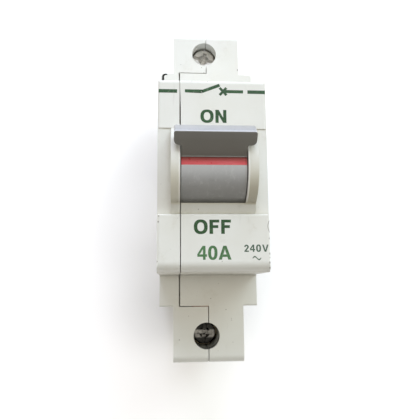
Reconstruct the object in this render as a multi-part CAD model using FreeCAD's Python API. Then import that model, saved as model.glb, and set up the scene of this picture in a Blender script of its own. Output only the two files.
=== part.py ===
"""Single-pole miniature circuit breaker for a 35 mm top-hat rail, built as an assembly of separate pieces.

Frame: millimetres, +Z up as installed, the front face towards -Y and +X to the right seen from the front.
The origin is on the rail seat, on the centre line of the rail and of the module's width.
"""
import FreeCAD
import Part
import math
import os

V = FreeCAD.Vector

# ---- driving dimensions ----------------------------------------------------------------
MODULE_W = 25.4            # width of one pole
BLOCK_W = 18.2             # width of the narrow terminal block at each end
NOSE_Y = -60.5             # front face of the 45 mm nose
SHOULDER_Y = -40.5         # front face of the terminal blocks
NOSE_HALF = 22.5           # half of the 45 mm nose
BACK_Y = 5.5               # rearmost faces, either side of the rail channel
TOP_STEP_Z, TOP_END_Z = 33.6, 44.8
BOTTOM_STEP_Z, BOTTOM_END_Z = -30.6, -44.8
WALL = 1.5
SPLIT_X = -7.45            # joint face of the two shells in the full-width part, x = 0 in the end blocks
SEAM_HALF = 0.1            # half of the visible gap between the shells
SEAM_REBATE = 0.16         # extra width of the gap where the shells' edges are relieved

MID_LEDGE, MID_RECESS = 0.2, 1.0         # depth of the sloping flats beside the bezel, top and bottom
MID_TOP_Z, MID_BOTTOM_Z = 10.55, -9.42
BEZEL_HALF = 9.6
CHEEK_R = 8.8              # outer radius of the bezel's cheeks about the toggle's axis
BAR_Y = NOSE_Y - 0.5       # front corner of the bezel's cross bars

TOGGLE_Y, TOGGLE_Z = -57.7, 1.2
DRUM_R = 8.2
DRUM_X = (-7.33, 7.05)
OPENING_X = (SPLIT_X + SEAM_HALF - 0.02, 7.3)
LEVER_TILT = 45.0          # lever above the horizontal when on
HEAD_HALF, HEAD_LEN = 8.9, 3.25
TIP_Y, TIP_Z = NOSE_Y - 9.4, 6.65        # lower edge of the lever's tip when on
BAND = (-4.9, 8.0)         # red band on the drum, degrees above the front
BAND_DEPTH = 0.25          # of the band below the drum's surface

HOLE_X = -0.55             # axis of the screwdriver holes
TOP_HOLE_Z, BOTTOM_HOLE_Z = 39.3, -38.1
HOLE_R, HOLE_GUIDE = 3.37, 3.2
SCREW_HEAD_R, SCREW_HEAD_T, SCREW_R = 3.15, 2.6, 2.5
SCREW_FRONT_Y = -37.2      # front of the screw head when the terminal is fully open
SCREW_TRAVEL = 6.5
BOX_Y = (-26.0, -9.3)      # terminal box, front to back
BOX_X = (-6.2, 5.2)
TUNNEL_X = (-4.7, 3.7)
TUNNEL_Y = (-23.2, -10.8)
CLAMP_T = 1.2

LOAD_Z = BOTTOM_STEP_Z - 2.1             # strip from the lower terminal into the mechanism chamber
TOP_BOX_Z = (TOP_STEP_Z + 1.8, TOP_END_Z - 1.5)
BOTTOM_BOX_Z = (BOTTOM_END_Z + 1.6, LOAD_Z - 0.65)

RAIL_HALF = 17.5           # half of the 35 mm rail
HOOK_Z = 14.8              # tip of each hook, from the rail's centre line
HOOK_GAP = 1.4             # room for the rail's flange under a hook
CLIP_X = 4.8

CARRIER_Y, CARRIER_Z = -31.0, 16.0       # axis of the contact carrier and of the trip lever
CRANK_R = 5.2                            # link pin on the toggle
LINK_Y, LINK_Z = -38.0, 4.0              # link pin on the latch, when on
LATCH_Y, LATCH_Z = -33.5, 9.5            # axis of the latch on the carrier
LATCH_X = (-4.0, -2.7)
TRIP_X = (-6.4, -4.2)
COIL_X, COIL_Z = 1.0, 8.0                # axis of the magnetic trip, along Y
COIL_R, COIL_WIRE = 4.95, 0.95
COIL_FRONT_Y, COIL_PITCH, COIL_TURNS = -17.9, 2.16, 5
LEAD_X = COIL_X + COIL_R
BIMETAL_Y = (-45.5, -44.5)

PLATE_COUNT, PLATE_PITCH, PLATE_T = 11, 2.0, 0.9
PLATE_FIRST_Y = -32.0
PLATE_X = (-6.0, 8.0)
PLATE_Z = (-28.4, -15.0)

RIVETS = [(-54.5, 17.3), (-54.5, -17.3), (-35.6, 28.4), (-5.2, 28.0), (-4.6, -25.9)]
RIVET_R = 1.5


# ---- helpers ---------------------------------------------------------------------------
def box(x, y, z):
    """Box between three (low, high) pairs."""
    return Part.makeBox(x[1] - x[0], y[1] - y[0], z[1] - z[0], V(x[0], y[0], z[0]))


def cyl_x(y, z, r, x):
    return Part.makeCylinder(r, x[1] - x[0], V(x[0], y, z), V(1, 0, 0))


def cyl_y(x, z, r, y):
    return Part.makeCylinder(r, y[1] - y[0], V(x, y[0], z), V(0, 1, 0))


def cyl_z(x, y, r, z):
    return Part.makeCylinder(r, z[1] - z[0], V(x, y, z[0]), V(0, 0, 1))


def tube_x(y, z, r_out, r_in, x):
    return cyl_x(y, z, r_out, x).cut(cyl_x(y, z, r_in, x))


def polar(centre, r, degrees):
    """Point at an angle in the YZ plane, counted from the front (-Y) up towards +Z."""
    a = math.radians(degrees)
    return centre[0] - r * math.cos(a), centre[1] + r * math.sin(a)


def rounded(points, place):
    """Closed wire through 2D points (u, v) or (u, v, radius) with rounded corners; place maps (u, v) to 3D."""
    corners = []
    n = len(points)
    for i, p in enumerate(points):
        here = V(p[0], p[1], 0)
        r = p[2] if len(p) > 2 else 0
        if not r:
            corners.append((here, None, here))
            continue
        back = (V(*points[i - 1][:2], 0) - here).normalize()
        ahead = (V(*points[(i + 1) % n][:2], 0) - here).normalize()
        half = back.getAngle(ahead) / 2
        reach = r / math.tan(half)
        middle = here + (back + ahead).normalize() * (r / math.sin(half) - r)
        corners.append((here + back * reach, middle, here + ahead * reach))
    edges = []
    for i, (start, middle, end) in enumerate(corners):
        if middle is not None:
            edges.append(Part.Arc(place(start), place(middle), place(end)).toShape())
        following = corners[(i + 1) % n][0]
        if (following - end).Length > 1e-6:
            edges.append(Part.LineSegment(place(end), place(following)).toShape())
    return Part.Wire(edges)


def plate_yz(points, x):
    """Rounded outline in the YZ plane, extruded from x[0] to x[1]."""
    wire = rounded(points, lambda p: V(x[0], p.x, p.y))
    return Part.Face(wire).extrude(V(x[1] - x[0], 0, 0))


def plate_xz(points, y):
    wire = rounded(points, lambda p: V(p.x, y[0], p.y))
    return Part.Face(wire).extrude(V(0, y[1] - y[0], 0))


def plate_xy(points, z):
    wire = rounded(points, lambda p: V(p.x, p.y, z[0]))
    return Part.Face(wire).extrude(V(0, 0, z[1] - z[0]))


def block_outline(a, b, r):
    """Corners of a rounded rectangle between the pairs a and b."""
    return [(a[0], b[0], r), (a[1], b[0], r), (a[1], b[1], r), (a[0], b[1], r)]


def strip(path, thickness, x, bend=1.0):
    """Flat strip bent along a path in the YZ plane: its middle line follows the points."""
    left, right = [], []
    for i, p in enumerate(path):
        here = V(p[0], p[1], 0)
        before = (here - V(*path[i - 1], 0)).normalize() if i else None
        after = (V(*path[i + 1], 0) - here).normalize() if i + 1 < len(path) else None
        along = (before or after) + (after or before)
        along.normalize()
        side = V(-along.y, along.x, 0)
        stretch = thickness / 2 / abs(along.dot(after or before))
        radius = bend if before is not None and after is not None else 0
        turn = before.x * after.y - before.y * after.x if radius else 0
        inner, outer = max(bend - thickness / 2, 0.1), bend + thickness / 2
        left.append((*(here + side * stretch)[:2], 0 if not radius else (inner if turn > 0 else outer)))
        right.append((*(here - side * stretch)[:2], 0 if not radius else (outer if turn > 0 else inner)))
    return plate_yz(left + right[::-1], x)


def coil(centre, axis, radius, wire_r, pitch, turns):
    """Round wire wound in a helix from centre along axis."""
    helix = Part.makeHelix(pitch, pitch * turns, radius)
    start = Part.Wire(Part.makeCircle(wire_r, V(radius, 0, 0), V(0, 1, pitch / (2 * math.pi * radius))))
    body = Part.Wire(helix.Edges).makePipeShell([start], True, True)
    turn = FreeCAD.Rotation(V(0, 0, 1), V(*axis))
    body.Placement = FreeCAD.Placement(V(*centre), turn)
    return body


def rounded_bar(x, wire_r, points):
    """Round wire through points (y, z) at one x, with balls at its bends."""
    pieces = []
    for a, b in zip(points, points[1:]):
        start, end = V(x, *a), V(x, *b)
        pieces.append(Part.makeCylinder(wire_r, (end - start).Length, start, end - start))
    pieces += [Part.makeSphere(wire_r, V(x, *p)) for p in points[1:-1]]
    return pieces[0].fuse(pieces[1:]).removeSplitter() if len(pieces) > 1 else pieces[0]


# ---- housing ---------------------------------------------------------------------------
def bezel_solid():
    """Cheeks and cross bars round the toggle, before the drum's opening is cut."""
    reach = math.sqrt(CHEEK_R ** 2 - (TOGGLE_Y - BAR_Y) ** 2)
    bottom, top = TOGGLE_Z - reach, TOGGLE_Z + reach
    inner = NOSE_Y + 4.0
    outline = [(BAR_Y, top), (NOSE_Y, MID_TOP_Z), (inner, MID_TOP_Z), (inner, MID_BOTTOM_Z),
               (NOSE_Y + MID_RECESS, MID_BOTTOM_Z), (BAR_Y, bottom)]
    corners = [V(-BEZEL_HALF, y, z) for y, z in outline]
    edges = [Part.LineSegment(a, b).toShape() for a, b in zip(corners, corners[1:])]
    front = V(-BEZEL_HALF, TOGGLE_Y - CHEEK_R, TOGGLE_Z)
    edges.append(Part.Arc(corners[-1], front, corners[0]).toShape())
    face = Part.Face(Part.Wire(edges))
    return face.extrude(V(2 * BEZEL_HALF, 0, 0))


def outer_solid():
    """Outside of both shells together, without openings."""
    half, block = MODULE_W / 2, BLOCK_W / 2
    wide = plate_yz([
        (NOSE_Y, NOSE_HALF, 1.0), (SHOULDER_Y, NOSE_HALF, 0.5), (SHOULDER_Y, TOP_STEP_Z, 0.4),
        (-2.0, TOP_STEP_Z, 1.5),
        (BACK_Y, 27.0, 1.5), (BACK_Y, 20.5, 0.8), (HOOK_GAP + 1.6, HOOK_Z, 0.3), (HOOK_GAP, HOOK_Z, 0.3),
        (HOOK_GAP, RAIL_HALF + 0.2), (-0.3, RAIL_HALF + 0.2), (-0.3, HOOK_Z - 0.4), (0, HOOK_Z - 0.4),
        (0, 0.4 - HOOK_Z), (-0.3, 0.4 - HOOK_Z), (-0.3, -RAIL_HALF - 0.7), (BACK_Y, -RAIL_HALF - 0.7, 0.5),
        (BACK_Y, -27.5, 1.5), (-2.0, BOTTOM_STEP_Z, 1.5), (SHOULDER_Y, BOTTOM_STEP_Z, 0.4),
        (SHOULDER_Y, -NOSE_HALF, 0.5),
        (NOSE_Y, -NOSE_HALF, 2.4), (NOSE_Y, MID_BOTTOM_Z, 0.4), (NOSE_Y + MID_RECESS, MID_BOTTOM_Z),
        (NOSE_Y + MID_LEDGE, MID_TOP_Z), (NOSE_Y, MID_TOP_Z, 0.1),
    ], (-half, half))
    rounded = plate_xy([(-half, NOSE_Y, 0.6), (half, NOSE_Y, 0.6), (half, 20), (-half, 20)], (-60, 60))
    wide = wide.common(rounded)
    corner = plate_xz([(-half - 1, TOP_STEP_Z - 3), (-half, TOP_STEP_Z - 3), (-half, TOP_STEP_Z, 1.3),
                       (-half + 3, TOP_STEP_Z), (-half + 3, TOP_STEP_Z + 1), (-half - 1, TOP_STEP_Z + 1)],
                      (SHOULDER_Y - 1, 1))
    slope = plate_xz([(block, TOP_STEP_Z), (half + 1, TOP_STEP_Z - 0.75), (half + 1, TOP_STEP_Z + 1),
                      (block, TOP_STEP_Z + 1)], (SHOULDER_Y - 1, 1))
    wide = wide.cut([corner, slope])
    top = plate_yz([(SHOULDER_Y, TOP_STEP_Z - 4), (SHOULDER_Y, TOP_END_Z, 1.2), (-7.0, TOP_END_Z, 1.5),
                    (0, TOP_END_Z - 6.6, 1.5), (0, TOP_STEP_Z - 4)], (-block, block))
    bottom = plate_yz([(SHOULDER_Y, BOTTOM_STEP_Z + 4), (SHOULDER_Y, BOTTOM_END_Z, 1.8),
                       (-7.0, BOTTOM_END_Z, 1.5), (0, BOTTOM_END_Z + 7.1, 1.5),
                       (0, BOTTOM_STEP_Z + 4)], (-block, block))
    return wide.fuse([top, bottom, bezel_solid()]).removeSplitter()


def cavity():
    """Space inside the shells: mechanism chamber and the two terminal chambers."""
    inner, block = MODULE_W / 2 - WALL, BLOCK_W / 2 - 1.4
    nose, depth = NOSE_HALF - 1.6, SHOULDER_Y + 1.6
    front, mid = NOSE_Y + 1.6, NOSE_Y + MID_RECESS + 1.6
    low, high = BOTTOM_STEP_Z + 1.6, TOP_STEP_Z - 1.6
    main = plate_yz([
        (front, nose, 0.8), (depth, nose, 0.5), (depth, high, 0.8), (-1.6, high, 0.8), (-1.6, low, 0.8),
        (depth, low, 0.8), (depth, -nose, 0.5), (front, -nose, 0.8), (front, MID_BOTTOM_Z - 1.2),
        (mid, MID_BOTTOM_Z - 1.2), (mid, MID_TOP_Z + 1.2), (front, MID_TOP_Z + 1.2),
    ], (-inner, inner))
    top = box((-block, block), (BOX_Y[0] - 0.4, -1.6), (TOP_STEP_Z + 1.6, TOP_END_Z - 1.4))
    top = top.cut(plate_yz([(-12.0, TOP_END_Z), (0, TOP_END_Z), (0, TOP_STEP_Z), (-1.6, TOP_STEP_Z),
                            (-1.6, TOP_END_Z - 7.4), (-8.2, TOP_END_Z - 1.2)], (-block, block)))
    top_slot = box((-5.0, 7.4), (-9.6, -5.4), (high - 1, TOP_STEP_Z + 2.5))
    bottom = box((-block, block), (BOX_Y[0] - 0.4, -1.6), (BOTTOM_END_Z + 1.4, BOTTOM_STEP_Z - 1.3))
    bottom = bottom.cut(plate_yz([(-12.0, BOTTOM_END_Z), (0, BOTTOM_END_Z), (0, BOTTOM_STEP_Z),
                                  (-1.6, BOTTOM_STEP_Z), (-1.6, BOTTOM_END_Z + 7.9),
                                  (-8.2, BOTTOM_END_Z + 1.2)], (-block, block)))
    load_slot = box((-4.6, 2.6), (-38.6, -26.0), (LOAD_Z - 0.9, LOAD_Z + 0.8)).fuse(
        box((-4.6, 2.6), (-38.6, -36.5), (LOAD_Z - 0.9, low + 1)))
    gas_way = box((-6.0, 7.0), (-8.6, -1.6), (BOTTOM_STEP_Z - 2, low + 1))
    return main.fuse([top, top_slot, bottom, load_slot, gas_way])


def bosses():
    """Rivet and pivot bosses and locating ribs, inside the cavity."""
    inner = MODULE_W / 2 - WALL
    x = (-inner - 0.5, inner + 0.5)
    posts = [cyl_x(y, z, 2.7, x) for y, z in RIVETS]
    posts.append(cyl_x(CARRIER_Y, CARRIER_Z, 3.0, (9.0, inner + 0.5)))
    posts.append(cyl_x(CARRIER_Y, CARRIER_Z, 3.0, (-inner - 0.5, -8.2)))
    for cheek in ((OPENING_X[1], BEZEL_HALF), (-BEZEL_HALF, OPENING_X[0])):
        posts.append(cyl_x(TOGGLE_Y, TOGGLE_Z, CHEEK_R, cheek))
    posts.append(box((9.4, x[1]), (-36.0, -9.0), (-13.6, -12.4)))
    posts.append(box((8.6, x[1]), (-21.6, -3.0), (17.2, 18.4)))
    posts.append(box((8.6, x[1]), (-2.8, -1.0), (0.5, 18.4)))
    return posts


def case_holes():
    """Everything that passes through the shells' walls."""
    half = MODULE_W / 2
    reach = math.sqrt(CHEEK_R ** 2 - (TOGGLE_Y - BAR_Y) ** 2)
    rebate = (SPLIT_X - SEAM_HALF - SEAM_REBATE, SPLIT_X)
    cuts = [box(rebate, (NOSE_Y - 1, NOSE_Y + 0.7), (MID_TOP_Z + 1, NOSE_HALF + 1)),
            box(rebate, (SHOULDER_Y - 1, SHOULDER_Y + 0.7), (NOSE_HALF, TOP_STEP_Z)),
            box(rebate, (SHOULDER_Y - 1, SHOULDER_Y + 0.7), (BOTTOM_STEP_Z, -NOSE_HALF))]
    ring = [(-half + 0.35, TOP_STEP_Z - 3), (-half + 0.35, TOP_STEP_Z - 0.35, 1.0),
            (-10.9, TOP_STEP_Z - 0.35), (-10.9, TOP_STEP_Z - 0.75),
            (-half + 0.95, TOP_STEP_Z - 0.75, 0.5), (-half + 0.95, TOP_STEP_Z - 3)]
    cuts.append(plate_xz(ring, (SHOULDER_Y - 1, SHOULDER_Y + 0.8)))
    cuts.append(cyl_x(TOGGLE_Y, TOGGLE_Z, DRUM_R + 0.3, OPENING_X))
    cuts.append(box(OPENING_X, (NOSE_Y - 8, TOGGLE_Y), (TOGGLE_Z - reach - 0.05, TOGGLE_Z + reach + 0.05)))
    cuts.append(cyl_x(TOGGLE_Y, TOGGLE_Z, 1.52, (-BEZEL_HALF + 0.8, BEZEL_HALF - 0.8)))
    cuts.append(cyl_x(CARRIER_Y, CARRIER_Z, 1.52, (-10.6, 10.6)))
    for z in (TOP_HOLE_Z, BOTTOM_HOLE_Z):
        cuts.append(cyl_y(HOLE_X, z, HOLE_R, (SHOULDER_Y - 1, SHOULDER_Y + HOLE_GUIDE + 0.01)))
        cuts.append(cyl_y(HOLE_X, z, HOLE_R + 0.28, (SHOULDER_Y + HOLE_GUIDE, BOX_Y[0])))
    entry = block_outline((TUNNEL_X[0] - 0.4, TUNNEL_X[1] + 0.4), (TUNNEL_Y[0] - 0.4, TUNNEL_Y[1] + 0.4), 1.6)
    cuts.append(plate_xy(entry, (TOP_END_Z - 3, TOP_END_Z + 1)))
    cuts.append(plate_xy(entry, (BOTTOM_END_Z - 1, BOTTOM_END_Z + 3)))
    for i in range(2):
        slot = block_outline((-5.6, 5.6), (-6.6 + 2.4 * i - 0.5, -6.6 + 2.4 * i + 0.5), 0.45)
        cuts.append(plate_xy(slot, (BOTTOM_END_Z - 1, BOTTOM_END_Z + 8)))
        cuts.append(plate_xy(slot, (TOP_END_Z - 7.6, TOP_END_Z + 1)))
    cuts.append(cyl_z(-1.0, -46.5, 1.6, (-NOSE_HALF - 1, -NOSE_HALF + 3)))
    for y, z in RIVETS:
        cuts.append(cyl_x(y, z, RIVET_R + 0.03, (-half - 1, half + 1)))
        cuts.append(cyl_x(y, z, 2.6, (-half - 1, -half + 0.8)))
        cuts.append(cyl_x(y, z, 2.6, (half - 0.8, half + 1)))
    cuts.append(box((-CLIP_X - 0.2, CLIP_X + 0.2), (HOOK_GAP - 0.05, 4.1), (-34, -RAIL_HALF)))
    label = block_outline((-50.0, -14.0), (-13.0, 13.0), 1.5)
    cuts.append(plate_yz(label, (-half - 1, -half + 0.25)))
    cuts.append(plate_yz(label, (half - 0.25, half + 1)))
    return cuts


def whole_case():
    hollow = outer_solid().cut(cavity())
    return hollow.fuse(bosses()).common(outer_solid()).cut(case_holes())


def left_region():
    far = 100
    edge = SPLIT_X - SEAM_HALF
    return box((-far, edge), (-far, far), (-far, far)).fuse([
        box((-far, -SEAM_HALF), (-far, far), (TOP_STEP_Z + SEAM_HALF, far)),
        box((-far, -SEAM_HALF), (-far, far), (-far, BOTTOM_STEP_Z - SEAM_HALF)),
    ])


def right_region():
    far = 100
    edge = SPLIT_X + SEAM_HALF
    return box((SEAM_HALF, far), (-far, far), (-far, far)).fuse(
        box((edge, far), (-far, far), (BOTTOM_STEP_Z + SEAM_HALF, TOP_STEP_Z - SEAM_HALF)))


def rivets():
    """Tubular rivets through both shells: a formed head at each side."""
    half = MODULE_W / 2
    made = []
    for y, z in RIVETS:
        shank = cyl_x(y, z, RIVET_R, (-half + 0.3, half - 0.3))
        heads = [cyl_x(y, z, 2.35, (-half + 0.12, -half + 0.8)), cyl_x(y, z, 2.35, (half - 0.8, half - 0.12))]
        body = shank.fuse(heads).cut(cyl_x(y, z, 0.9, (-half, half))).removeSplitter()
        rims = [e for e in body.Edges if e.Length > 2 * math.pi * 2.3
                and abs(abs(e.Vertexes[0].Point.x) - half + 0.12) < 0.01]
        made.append(body.makeFillet(0.3, rims))
    return Part.makeCompound(made)


def rail_clip():
    """Sliding latch that grips the rail's lower flange, with a pull tab and two sprung legs."""
    y = (HOOK_GAP + 0.1, 3.9)
    tip = plate_yz([(y[0], -HOOK_Z, 0.3), (y[0] + 1.0, -HOOK_Z, 0.5), (y[1], -RAIL_HALF),
                    (y[1], -30.0), (y[0], -30.0)], (-CLIP_X, CLIP_X))
    end = BOTTOM_END_Z + 0.3
    tail = plate_xz([(-CLIP_X, -29.0), (CLIP_X, -29.0), (CLIP_X, end, 1.2), (-CLIP_X, end, 1.2)], y)
    pull = box((-2.2, 2.2), (y[0] - 1, y[1] + 1), (end + 1.4, end + 3.4))
    gaps = [box((s * 3.2 - 0.45, s * 3.2 + 0.45), (y[0] - 1, y[1] + 1), (-39.8, -31.5)) for s in (-1, 1)]
    window = plate_xz(block_outline((-1.9, 1.9), (-39.3, -32.5), 0.8), (y[0] - 1, y[1] + 1))
    return tip.fuse(tail).cut([pull, window] + gaps).removeSplitter()


# ---- toggle ----------------------------------------------------------------------------
def lever_place():
    """Placement of the lever's lower face: local X is across, Y runs to the tip and Z points out of it."""
    angle = math.radians(LEVER_TILT)
    tilt = FreeCAD.Rotation(V(1, 0, 0), V(0, -math.cos(angle), math.sin(angle)), V(0, 0, 1), "XYZ")
    return FreeCAD.Placement(V(0, TIP_Y, TIP_Z), tilt)


def lever():
    """T-shaped lever: a neck as wide as the drum and a wider head."""
    neck_l, neck_r = DRUM_X
    root = -9.5
    outline = [
        (neck_l, root), (neck_r, root), (neck_r, -HEAD_LEN, 0.4), (HEAD_HALF, -HEAD_LEN, 1.1),
        (HEAD_HALF, 0, 0.5), (-HEAD_HALF, 0, 0.5), (-HEAD_HALF, -HEAD_LEN, 1.1), (neck_l, -HEAD_LEN, 0.4),
    ]
    plate = plate_xy(outline, (-9.0, 0))
    plate.Placement = lever_place()
    section = plate_yz([(TIP_Y, TIP_Z, 0.25), (TIP_Y + 1.4, TIP_Z + 2.4, 0.3), (-63.4, 7.4), (-60.0, 6.5),
                        (-60.0, 2.0), (-63.2, -0.2)], (-HEAD_HALF, HEAD_HALF))
    return plate.common(section).removeSplitter()


def drum_sector(r, x, low, high):
    """Pie slice of the drum between two angles counted from the front upwards."""
    centre = (TOGGLE_Y, TOGGLE_Z)
    far = 40
    steps = [low + (high - low) * i / 6 for i in range(7)]
    points = [centre] + [polar(centre, far, a) for a in steps]
    return cyl_x(*centre, r, x).common(plate_yz(points, x))


def toggle():
    """Drum skin over the opening, end webs, hub, crank web and lever, in one moulding."""
    centre = (TOGGLE_Y, TOGGLE_Z)
    skin = drum_sector(DRUM_R, DRUM_X, -76, 138).cut(cyl_x(*centre, DRUM_R - 1.5, DRUM_X))
    webs = [drum_sector(DRUM_R, (DRUM_X[0], DRUM_X[0] + 1.2), -76, 138),
            drum_sector(DRUM_R, (DRUM_X[1] - 1.2, DRUM_X[1]), -76, 138)]
    hub = cyl_x(*centre, 2.7, DRUM_X)
    pin_y, pin_z = TOGGLE_Y + CRANK_R, TOGGLE_Z
    crank = plate_yz([(pin_y + 1.7, pin_z - 1.7, 1.6), (pin_y + 1.7, pin_z + 1.7, 1.6),
                      (TOGGLE_Y, TOGGLE_Z + 2.7), (TOGGLE_Y - 7.4, TOGGLE_Z + 2.0),
                      (TOGGLE_Y - 7.4, TOGGLE_Z - 2.0), (TOGGLE_Y, TOGGLE_Z - 2.7)], (0.0, 2.4))
    body = skin.fuse(webs + [hub, crank, lever()])
    groove = drum_sector(DRUM_R + 0.6, DRUM_X, *BAND).cut(cyl_x(*centre, DRUM_R - 0.9, DRUM_X))
    hollow = cyl_x(*centre, 1.55, (-20, 20))
    keep_clear = cyl_x(*centre, DRUM_R - 1.5, (DRUM_X[0] + 1.2, 0.0)).fuse(
        cyl_x(*centre, DRUM_R - 1.5, (2.4, DRUM_X[1] - 1.2))).cut(cyl_x(*centre, 2.7, (-20, 20)))
    pin_hole = cyl_x(pin_y, pin_z, 0.68, (-1, 4))
    return body.cut([groove, hollow, keep_clear, pin_hole]).removeSplitter()


def toggle_indicator():
    """Red bar let into the drum just under the lever; it shows when the breaker is on."""
    centre = (TOGGLE_Y, TOGGLE_Z)
    return drum_sector(DRUM_R - BAND_DEPTH, DRUM_X, *BAND).cut(cyl_x(*centre, DRUM_R - 0.9, DRUM_X))


def toggle_pin():
    return cyl_x(TOGGLE_Y, TOGGLE_Z, 1.5, (-BEZEL_HALF + 0.85, BEZEL_HALF - 0.85))


def toggle_spring():
    """Torsion spring round the hub that throws the toggle off."""
    return coil((3.1, TOGGLE_Y, TOGGLE_Z), (1, 0, 0), 3.25, 0.35, 0.85, 2.5)


def drive_link():
    """Bent wire that carries the toggle's crank to the latch."""
    r, x = 0.6, 3.3
    crank = (TOGGLE_Y + CRANK_R, TOGGLE_Z)
    latch = (LINK_Y, LINK_Z)
    bar = rounded_bar(x, r, [crank, latch])
    ends = [cyl_x(*crank, r, (-0.3, x)), cyl_x(*latch, r, (-4.1, x))]
    balls = [Part.makeSphere(r, V(x, *p)) for p in (crank, latch)]
    return bar.fuse(ends + balls).removeSplitter()


# ---- contacts and latch ----------------------------------------------------------------
def contact_carrier():
    """Moulded carrier: hub on the pivot pin, arm to the latch axis and a channel for the contact arm."""
    hub = cyl_x(CARRIER_Y, CARRIER_Z, 3.2, (-2.6, 4.8))
    cheek = [(CARRIER_Y - 2.6, CARRIER_Z + 1.5, 1.0), (CARRIER_Y - 6.2, 8.4, 1.4),
             (CARRIER_Y - 2.8, 4.0, 1.2), (CARRIER_Y + 1.0, 4.0, 0.8), (CARRIER_Y + 3.0, CARRIER_Z, 0.5)]
    body = hub.fuse([plate_yz(cheek, (-2.6, -1.2)), plate_yz(cheek, (2.4, 3.8))])
    bridge = plate_yz(block_outline((-32.7, -31.0), (4.3, 6.1), 0.3), (-2.6, 3.8))
    body = body.fuse(bridge)
    bore = cyl_x(CARRIER_Y, CARRIER_Z, 1.56, (-20, 20))
    latch_bore = cyl_x(LATCH_Y, LATCH_Z, 0.83, (-20, 20))
    arm_room = cyl_x(CARRIER_Y, CARRIER_Z, 4.0, (-0.35, 2.25))
    return body.cut([bore, latch_bore, arm_room]).removeSplitter()


def carrier_pin():
    return cyl_x(CARRIER_Y, CARRIER_Z, 1.5, (-10.5, 10.5))


def moving_contact_arm():
    """Stamped copper arm from the pivot down to the contact."""
    outline = [
        (CARRIER_Y - 1.8, CARRIER_Z + 2.2, 1.6), (CARRIER_Y + 2.3, CARRIER_Z + 2.2, 1.6),
        (CARRIER_Y + 2.3, 13.0, 0.8),
        (-26.6, 6.0, 3.0), (-25.8, -3.0, 3.0), (-23.6, -6.6, 0.8), (-23.6, -11.4, 0.8), (-26.2, -11.4, 1.2),
        (-29.4, -3.0, 3.0), (-30.2, 6.0, 3.0), (CARRIER_Y - 1.8, 12.0, 1.5),
    ]
    plate = plate_yz(outline, (0.0, 1.9))
    return plate.cut(cyl_x(CARRIER_Y, CARRIER_Z, 1.56, (-1, 3)))


def moving_contact_tip():
    return plate_yz([(-23.6, -10.9), (-23.6, -7.1), (-22.65, -7.4, 0.3), (-22.65, -10.6, 0.3)], (-0.6, 2.5))


def contact_spring():
    """Torsion spring on the carrier's hub that presses the contact arm on."""
    return coil((5.3, CARRIER_Y, CARRIER_Z), (1, 0, 0), 2.35, 0.35, 0.85, 3.4)


def latch_lever():
    """Latch on the carrier: holds the link's pin until the trip lever lets it go."""
    outline = [
        (LINK_Y - 3.3, LINK_Z - 1.9, 1.2), (LINK_Y - 3.3, LINK_Z + 2.5, 1.2),
        (LATCH_Y - 2.0, LATCH_Z + 2.2, 0.8),
        (LATCH_Y - 1.6, 13.4, 0.5), (LATCH_Y + 0.1, 13.4, 0.5), (LATCH_Y + 1.7, LATCH_Z + 0.8, 1.0),
        (LATCH_Y + 0.8, LATCH_Z - 1.9, 1.2), (LINK_Y + 2.4, LINK_Z - 1.9, 1.2),
    ]
    body = plate_yz(outline, LATCH_X)
    slot = plate_yz(block_outline((LINK_Y - 2.3, LINK_Y + 1.4), (LINK_Z - 1.1, LINK_Z + 1.7), 0.9), (-5, 3))
    bore = cyl_x(LATCH_Y, LATCH_Z, 0.83, (-5, 3))
    return body.cut([slot, bore]).removeSplitter()


def latch_pin():
    return cyl_x(LATCH_Y, LATCH_Z, 0.8, (-4.1, 3.8))


def trip_lever():
    """Trip lever on the carrier's pin: one arm to the bimetal, one tab in front of the pusher pin."""
    x = TRIP_X
    hub = cyl_x(CARRIER_Y, CARRIER_Z, 3.0, x)
    front = plate_yz([(CARRIER_Y, CARRIER_Z + 2.4, 0.6), (-44.6, 12.6, 1.0), (-47.6, 12.0, 1.0),
                      (-47.6, 5.0, 0.4), (-46.5, 5.0, 0.4), (-46.5, 10.0, 0.8), (-37.0, 10.8, 1.0),
                      (CARRIER_Y, CARRIER_Z - 2.4, 0.5)], x)
    rear = plate_yz([(CARRIER_Y - 1.6, CARRIER_Z, 0.3), (CARRIER_Y + 2.4, CARRIER_Z + 1.0, 0.6),
                     (-23.4, 9.6, 0.5), (-23.4, 7.2, 0.3), (-24.4, 7.2, 0.3), (-25.4, 9.0, 0.8)], x)
    tab = plate_yz(block_outline((-24.4, -23.4), (7.2, 9.6), 0.3), (x[0], 2.4))
    finger = plate_yz(block_outline((-32.3, -31.4), (12.4, 15.0), 0.2), (x[0], LATCH_X[1]))
    body = hub.fuse([front, rear, tab, finger])
    return body.cut(cyl_x(CARRIER_Y, CARRIER_Z, 1.56, (-20, 20))).removeSplitter()


def flexible_braid():
    """Copper braid from the contact arm to the free end of the bimetal."""
    x = -1.6
    run = [V(x, -30.6, 1.0), V(x, -35.6, -1.6), V(x, -40.6, -0.6), V(x, -43.6, 3.6)]
    return bent_round(run, 1.0)


def bent_round(points, r):
    """Round bar through 3D points, straight runs joined by tangent arcs."""
    edges = []
    start = points[0]
    for i in range(1, len(points) - 1):
        here = points[i]
        back = (points[i - 1] - here)
        ahead = (points[i + 1] - here)
        shorter = min(back.Length, ahead.Length)
        back.normalize()
        ahead.normalize()
        half = back.getAngle(ahead) / 2
        reach = 0.45 * shorter
        radius = reach * math.tan(half)
        middle = here + (back + ahead).normalize() * (radius / math.sin(half) - radius)
        a, b = here + back * reach, here + ahead * reach
        edges += [Part.LineSegment(start, a).toShape(), Part.Arc(a, middle, b).toShape()]
        start = b
    edges.append(Part.LineSegment(start, points[-1]).toShape())
    ring = Part.Wire(Part.makeCircle(r, points[0], points[1] - points[0]))
    return Part.Wire(edges).makePipeShell([ring], True, True)


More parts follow.
